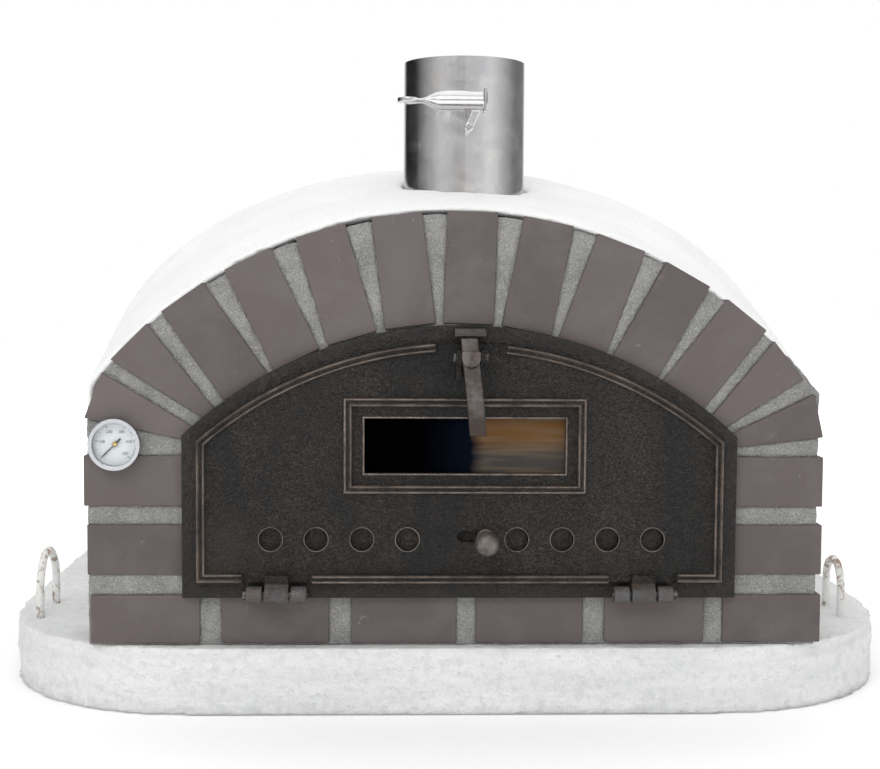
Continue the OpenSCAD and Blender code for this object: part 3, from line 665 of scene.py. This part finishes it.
def arch_path(inset, x_from, x_to):
    """Points of the leaf's outline, moved in, that lie above x_from to x_to, left to right."""
    half, arc = leaf_half - inset, leaf_arc - inset
    centre_z = leaf_crown - leaf_arc
    shoulder = centre_z + math.sqrt(arc * arc - half * half)
    points = []
    if x_from <= -half:
        points += [(door_x - half, leaf_foot + inset), (door_x - half, shoulder)]
        x_from = -half
    stop = min(x_to, half)
    steps = max(4, int((stop - x_from) / (7 * mm)))
    for i in range(1, steps + (0 if x_to >= half else 1)):
        x = x_from + (stop - x_from) * i / steps
        points.append((door_x + x, centre_z + math.sqrt(arc * arc - x * x)))
    if x_to >= half:
        points += [(door_x + half, shoulder), (door_x + half, leaf_foot + inset)]
    return points


ridges = [(-4.3, -0.4), (-4.3, 1.6), (-3.8, 2.9), (-3.0, 3.3), (-2.2, 2.9), (-1.4, 1.9),
          (0.8, 2.1), (1.6, 3.6), (2.6, 4.8), (3.6, 4.3), (4.3, 2.2), (4.3, -0.4)]
ridges = [(a * mm, b * mm) for a, b in ridges]
inset = 4.1 * mm
low = leaf_foot + inset
side = leaf_half - inset
latch_gap = 33 * mm
hinge_gap = 36 * mm
left_arch = arch_path(inset, -1, -latch_gap + 6 * mm)
right_arch = arch_path(inset, latch_gap + 6 * mm, 1)
foot_left = (door_x - hinge_dx - hinge_gap, low)
foot_right = (door_x + hinge_dx + hinge_gap, low)
middle = [(door_x - hinge_dx + hinge_gap, low - 1 * mm), (door_x + hinge_dx - hinge_gap, low - 1 * mm)]
beads = [sweep([foot_left] + left_arch, ridges, leaf_front, False),
         sweep(right_arch + [foot_right], ridges, leaf_front, False),
         sweep(middle, ridges, leaf_front, False)]
piece("leaf_beads", to_mesh(joined(beads), "leaf_beads"), BEAD, "door", (), 50)

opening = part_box("window_glass")
win_x, win_z = (opening[0][0] + opening[1][0]) / 2, (opening[0][2] + opening[1][2]) / 2
win_w, win_h = opening[1][0] - opening[0][0] - 16 * mm, opening[1][2] - opening[0][2] - 12 * mm


def rectangle(w, h):
    return [(win_x + sx * w / 2, win_z + sz * h / 2)
            for sx, sz in ((-1, -1), (1, -1), (1, 1), (-1, 1))]


rings_round_vents = []
rim = [(-0.6 * mm, -0.3 * mm), (-0.4 * mm, 0.5 * mm), (0.4 * mm, 0.5 * mm), (0.6 * mm, -0.3 * mm)]
lip = [(-0.9 * mm, -0.4 * mm), (-0.8 * mm, 0.7 * mm), (0, 1.1 * mm), (0.8 * mm, 0.7 * mm),
       (0.9 * mm, -0.4 * mm)]
vent_z, vent_r = leaf_foot + 44 * mm, 12.4 * mm
for side in (-1, 1):
    for i in range(4):
        centre_x = door_x + (1.5 + side * (56 + 46.5 * i)) * mm
        ring = [(centre_x + vent_r * math.cos(k * math.pi / 16),
                 vent_z + vent_r * math.sin(k * math.pi / 16)) for k in range(32)]
        rings_round_vents.append(sweep(ring, rim, leaf_front, True))
piece("vent_rims", to_mesh(joined(rings_round_vents), "vent_rims"), BEAD, "door",
      (), 50)
frames = [sweep(rectangle(239 * mm, 89 * mm), ridges, leaf_front, True),
          sweep(rectangle(win_w + 2 * mm, win_h + 2 * mm), lip, leaf_front, True)]
piece("window_moulding", to_mesh(joined(frames), "window_moulding"), BEAD, "door",
      (), 50)

# ------------------------------------------------------------------ flue, loops, thermometer

pipe_mesh = to_mesh(bevelled(welded("flue_pipe"), 0.5 * mm, 2, 50), "flue_pipe_sheet")
piece("flue_pipe_sheet", pipe_mesh, PIPE, "oven", ["flue_pipe"], 40)

for loop in ("front_left", "front_right", "rear_left", "rear_right"):
    node = "lifting_loop_" + loop
    shift = random.uniform(0, 50)
    rod = remeshed(welded(node), 1.4 * mm, 2, node)
    rod = rough(rod, lambda p, n: (0.5 * fractal(p, 120, 3, shift) - 0.1) * mm)
    piece(node + "_rod", rod, LOOP, "oven", [node], 180)

bezel = to_mesh(bevelled(welded("thermometer_bezel"), 1.2 * mm, 3, 40), "bezel_ring")
piece("bezel_ring", bezel, ALUMINIUM, "oven", ["thermometer_bezel"], 40)

dial_low, dial_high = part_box("thermometer_dial")
dial_c = Vector(((dial_low[0] + dial_high[0]) / 2, dial_low[1], (dial_low[2] + dial_high[2]) / 2))
dial_r = (dial_high[0] - dial_low[0]) / 2
first, span, numbers = 225, 270, 6


def on_dial(angle, radius):
    """A place on the dial; the angle runs clockwise from the top, in degrees."""
    a = math.radians(angle)
    return Vector((dial_c.x + radius * math.sin(a), dial_c.y, dial_c.z + radius * math.cos(a)))


marks = bmesh.new()
for i in range(51):
    angle = first + span * i / 50
    long = 0.80 if i % 10 == 0 else 0.86 if i % 5 == 0 else 0.90
    wide = (0.32 if i % 10 == 0 else 0.18) * mm
    inner, outer = on_dial(angle, dial_r * long), on_dial(angle, dial_r * 0.95)
    across = (outer - inner).normalized().cross(Vector((0, 1, 0))) * wide
    lift = Vector((0, -0.12 * mm, 0))
    low_ring = [marks.verts.new(p) for p in (inner - across, outer - across, outer + across,
                                             inner + across)]
    high_ring = [marks.verts.new(v.co + lift) for v in low_ring]
    marks.faces.new(low_ring)
    marks.faces.new(high_ring)
    for k in range(4):
        marks.faces.new((low_ring[k - 1], low_ring[k], high_ring[k], high_ring[k - 1]))
for i in range(numbers):
    text = bpy.data.curves.new("number", "FONT")
    text.body = str(100 * i)
    text.size = 4.2 * mm
    text.align_x, text.align_y = "CENTER", "CENTER"
    text.extrude = 0.08 * mm
    holder = bpy.data.objects.new("number", text)
    bpy.context.collection.objects.link(holder)
    figure = bpy.data.meshes.new_from_object(
        holder.evaluated_get(bpy.context.evaluated_depsgraph_get()))
    place = Matrix.Translation(on_dial(first + span * i / (numbers - 1), dial_r * 0.62)
                               + Vector((0, -0.1 * mm, 0)))
    figure.transform(place @ Matrix.Rotation(math.radians(90), 4, "X"))
    marks.from_mesh(figure)
    bpy.data.objects.remove(holder)
piece("dial_marks", to_mesh(marks, "dial_marks"), INK, "oven", (), 30)

boss = bmesh.new()
turned = [(0, -3.9), (1.4, -3.8), (2.3, -3.3), (2.8, -2.4), (2.8, -1.6)]
rings = [[boss.verts.new((dial_c.x + r * mm * math.cos(k * math.pi / 12),
                          dial_c.y + y * mm,
                          dial_c.z + r * mm * math.sin(k * math.pi / 12))) for k in range(24)]
         for r, y in turned[1:]]
for one, two in zip(rings, rings[1:]):
    for k in range(24):
        boss.faces.new((one[k - 1], one[k], two[k], two[k - 1]))
boss.faces.new(rings[0])
boss.faces.new(list(reversed(rings[-1])))
piece("pointer_boss", to_mesh(boss, "pointer_boss"), BRASS, "pointer", (), 60)

# ------------------------------------------------------------------ floor, light, camera

floor_mesh = bpy.data.meshes.new("floor")
floor_mesh.from_pydata([(-9, -9, -0.001), (9, -9, -0.001), (9, 9, -0.001), (-9, 9, -0.001)], [],
                       [(0, 1, 2, 3)])
floor = bpy.data.objects.new("floor", floor_mesh)
bpy.context.collection.objects.link(floor)
pale = Nodes("floor_pale")
span_x, span_y = pale.axis(0), pale.axis(1)
away = pale.maths("SQRT", pale.maths("ADD", pale.maths("MULTIPLY", span_x, span_x),
                                     pale.maths("MULTIPLY", span_y, span_y)))
# Painted light: the floor glows, faintly near the oven and fully far off, so it fades into the white
# backdrop.
glow = pale.ramp(away, 0.55, 2.4, 0.10, 1.0)
pale.set(Base_Color=pale.mix(pale.noise(2), (0.90, 0.90, 0.90), (0.92, 0.92, 0.92)), Roughness=0.9,
         Emission_Color=(1, 1, 1, 1), Emission_Strength=glow)
floor_mesh.materials.append(pale.material)

world = bpy.data.worlds.new("studio")
bpy.context.scene.world = world
world.use_nodes = True
sky = world.node_tree


def sky_node(kind, *inputs, **settings):
    made = sky.nodes.new(kind)
    for key, value in settings.items():
        setattr(made, key, value)
    for socket, value in zip(made.inputs, inputs):
        if isinstance(value, bpy.types.NodeSocket):
            sky.links.new(value, socket)
        else:
            socket.default_value = value
    return made.outputs[0]


# White behind the object and overhead, greyer beside it and in front, as a studio is
way = sky.nodes.new("ShaderNodeSeparateXYZ")
sky.links.new(sky.nodes.new("ShaderNodeTexCoord").outputs["Generated"], way.inputs[0])
side_x, front_y, up_z = way.outputs
turn = sky_node("ShaderNodeMath", side_x, front_y, operation="ARCTAN2")
round_x = sky_node("ShaderNodeMath", turn, operation="ABSOLUTE")
sides = sky_node("ShaderNodeMapRange", turn, -0.3, 0.3, 0.01, 0.24)
near = sky_node("ShaderNodeMapRange", round_x, 0.37, 0.52, 1.0, sides)
beside = sky_node("ShaderNodeMapRange", round_x, 1.3, 2.3, 0.0, 0.75)
front = sky_node("ShaderNodeMapRange", round_x, 2.3, 2.9, 0.0, -0.25)
level = sky_node("ShaderNodeMath", near, beside, operation="ADD")
level = sky_node("ShaderNodeMath", level, front, operation="ADD")
overhead = sky_node("ShaderNodeMapRange", up_z, 0.35, 0.75, 0.0, 1.0)
level = sky_node("ShaderNodeMath", level, overhead, operation="MAXIMUM")
sky.links.new(level, sky.nodes["Background"].inputs["Strength"])
sky.nodes["Background"].inputs["Color"].default_value = (1, 1, 1, 1)


def area_light(name, place, target, size, power, colour=(1, 1, 1)):
    data = bpy.data.lights.new(name, "AREA")
    data.shape = "RECTANGLE"
    data.size, data.size_y = size
    data.energy = power
    data.color = colour
    lamp = bpy.data.objects.new(name, data)
    bpy.context.collection.objects.link(lamp)
    lamp.location = place
    lamp.rotation_euler = (Vector(target) - Vector(place)).to_track_quat("-Z", "Y").to_euler()


area_light("key", (-1.0, -3.4, 2.6), (0, -0.3, 0.3), (2.5, 1.5), 45)
area_light("top", (0.3, 0.2, 3.5), (0, 0, 0.3), (3, 3), 14)

camera_data = bpy.data.cameras.new("camera")
camera = bpy.data.objects.new("camera", camera_data)
bpy.context.collection.objects.link(camera)
bpy.context.scene.camera = camera
camera_data.sensor_width = 36
camera_data.lens = 1473.2 / 880 * 36
yaw, pitch, roll = (math.radians(v) for v in (1.84, 3.75, 0.34))
ahead = Vector((math.sin(yaw) * math.cos(pitch), math.cos(yaw) * math.cos(pitch),
                -math.sin(pitch)))
right = Vector((math.cos(yaw), -math.sin(yaw), 0))
up = right.cross(ahead)
right, up = (right * math.cos(roll) + up * math.sin(roll),
             up * math.cos(roll) - right * math.sin(roll))
camera.matrix_world = Matrix((
    (right.x, up.x, -ahead.x, -0.065),
    (right.y, up.y, -ahead.y, -1.9949),
    (right.z, up.z, -ahead.z, 0.4397),
    (0, 0, 0, 1),
))
bpy.context.scene.view_settings.view_transform = "Standard"
